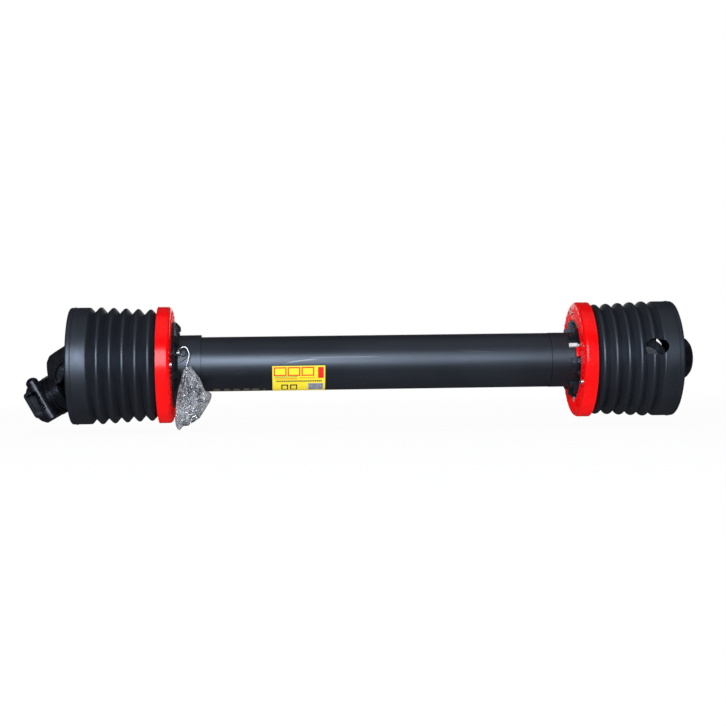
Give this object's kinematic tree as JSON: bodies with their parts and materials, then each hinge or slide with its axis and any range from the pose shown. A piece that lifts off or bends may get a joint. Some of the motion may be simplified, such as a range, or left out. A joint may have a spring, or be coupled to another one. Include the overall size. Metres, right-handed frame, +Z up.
{
  "type": "universal joint shaft",
  "caption": "Telescopic universal joint drive shaft in a plastic safety guard: bellows bells with red locking rings, profile tubes, crosses and splined push-pin yokes.",
  "frame": {"origin": "on the shaft's axis, half way between the two joints, at the seat on the outer guard tube", "axes": "+X along the shaft towards the telescoping end, +Z up with the guard's bells level"},
  "size_m": [0.8886, 0.1546, 0.1625],
  "materials": {
    "black_plastic": "satin moulded plastic",
    "red_plastic": "glossy",
    "nylon": "satin nylon",
    "grey_plastic": "satin",
    "yellow_label": "printed film",
    "tie_wire": "drawn wire",
    "clear_film": "clear film",
    "zinc_steel": "zinc plated",
    "dark_steel": "oiled spring steel",
    "black_paint": "glossy black paint",
    "bare_steel": "machined and greased",
    "rubber": "matt"
  },
  "bodies": {
    "guard_outer": {"outer_guard_tube": "black_plastic", "left_guard_collar": "black_plastic", "left_bearing_ring": "nylon", "left_locking_ring": "red_plastic", "left_bell": "black_plastic", "left_ring_screws": "zinc_steel", "warning_label": "yellow_label", "tie_loop": "tie_wire", "chain_bag": "clear_film", "guard_chains": "zinc_steel", "chain_hook": "dark_steel"},
    "drive_outer": {"left_inner_yoke": "black_paint", "outer_profile_tube": "bare_steel", "left_roll_pin": "dark_steel", "left_inner_bearing_cups": "bare_steel", "left_inner_circlips": "dark_steel"},
    "drive_inner": {"right_inner_yoke": "black_paint", "inner_profile_tube": "bare_steel", "right_roll_pin": "dark_steel", "right_inner_bearing_cups": "bare_steel", "right_inner_circlips": "dark_steel"},
    "guard_inner": {"inner_guard_tube": "black_plastic", "right_guard_collar": "black_plastic", "right_bearing_ring": "nylon", "right_bearing_latch": "nylon", "right_release_tab": "red_plastic", "right_pointer_tabs": "grey_plastic", "right_locking_ring": "red_plastic", "right_bell": "black_plastic", "right_ring_screws": "zinc_steel"},
    "left_cross": {"left_journal_cross": "black_paint", "left_cross_seals": "rubber", "left_grease_nipple": "zinc_steel"},
    "left_yoke": {"left_outer_yoke": "black_paint", "left_outer_bearing_cups": "bare_steel", "left_outer_circlips": "dark_steel", "left_pin_spring": "bare_steel", "left_pin_plug": "zinc_steel"},
    "left_pin": {"left_push_pin": "black_paint"},
    "right_cross": {"right_journal_cross": "black_paint", "right_cross_seals": "rubber", "right_grease_nipple": "zinc_steel"},
    "right_yoke": {"right_outer_yoke": "black_paint", "right_outer_bearing_cups": "bare_steel", "right_outer_circlips": "dark_steel", "right_pin_spring": "bare_steel", "right_pin_plug": "zinc_steel"},
    "right_pin": {"right_push_pin": "black_paint"}
  },
  "joints": [
    {"name": "shaft_spin", "type": "hinge", "parent": "guard_outer", "child": "drive_outer", "pos_m": [0, 0, 0], "axis": [1, 0, 0], "continuous": true},
    {"name": "shaft_telescope", "type": "slide", "parent": "drive_outer", "child": "drive_inner", "axis": [1, 0, 0], "range_m": [0, 0.2]},
    {"name": "guard_telescope", "type": "slide", "parent": "guard_outer", "child": "guard_inner", "axis": [1, 0, 0], "range_m": [0, 0.2]},
    {"name": "left_bend", "type": "hinge", "parent": "drive_outer", "child": "left_cross", "pos_m": [-0.355, 0, 0], "axis": [0, 1, 0], "range_deg": [0, 58]},
    {"name": "left_swing", "type": "hinge", "parent": "left_cross", "child": "left_yoke", "pos_m": [-0.355, 0, 0], "axis": [-0.4848, 0, 0.8746], "range_deg": [-1, 25]},
    {"name": "left_pin_push", "type": "slide", "parent": "left_yoke", "child": "left_pin", "axis": [0.4848, 0, -0.8746], "range_m": [0, 0.009], "stiffness_N_per_m": 900, "springref_m": -0.012, "deforming": ["left_pin_spring"]},
    {"name": "right_bend", "type": "hinge", "parent": "drive_inner", "child": "right_cross", "pos_m": [0.355, 0, 0], "axis": [0, 1, 0], "range_deg": [-33, 33]},
    {"name": "right_swing", "type": "hinge", "parent": "right_cross", "child": "right_yoke", "pos_m": [0.355, 0, 0], "axis": [0, 0, 1], "range_deg": [-24, 4]},
    {"name": "right_pin_push", "type": "slide", "parent": "right_yoke", "child": "right_pin", "axis": [0, 0, -1], "range_m": [0, 0.009], "stiffness_N_per_m": 900, "springref_m": -0.012, "deforming": ["right_pin_spring"]}
  ],
  "couplings": [
    {"joint": "guard_telescope", "follows": "shaft_telescope", "ratio": 1}
  ]
}
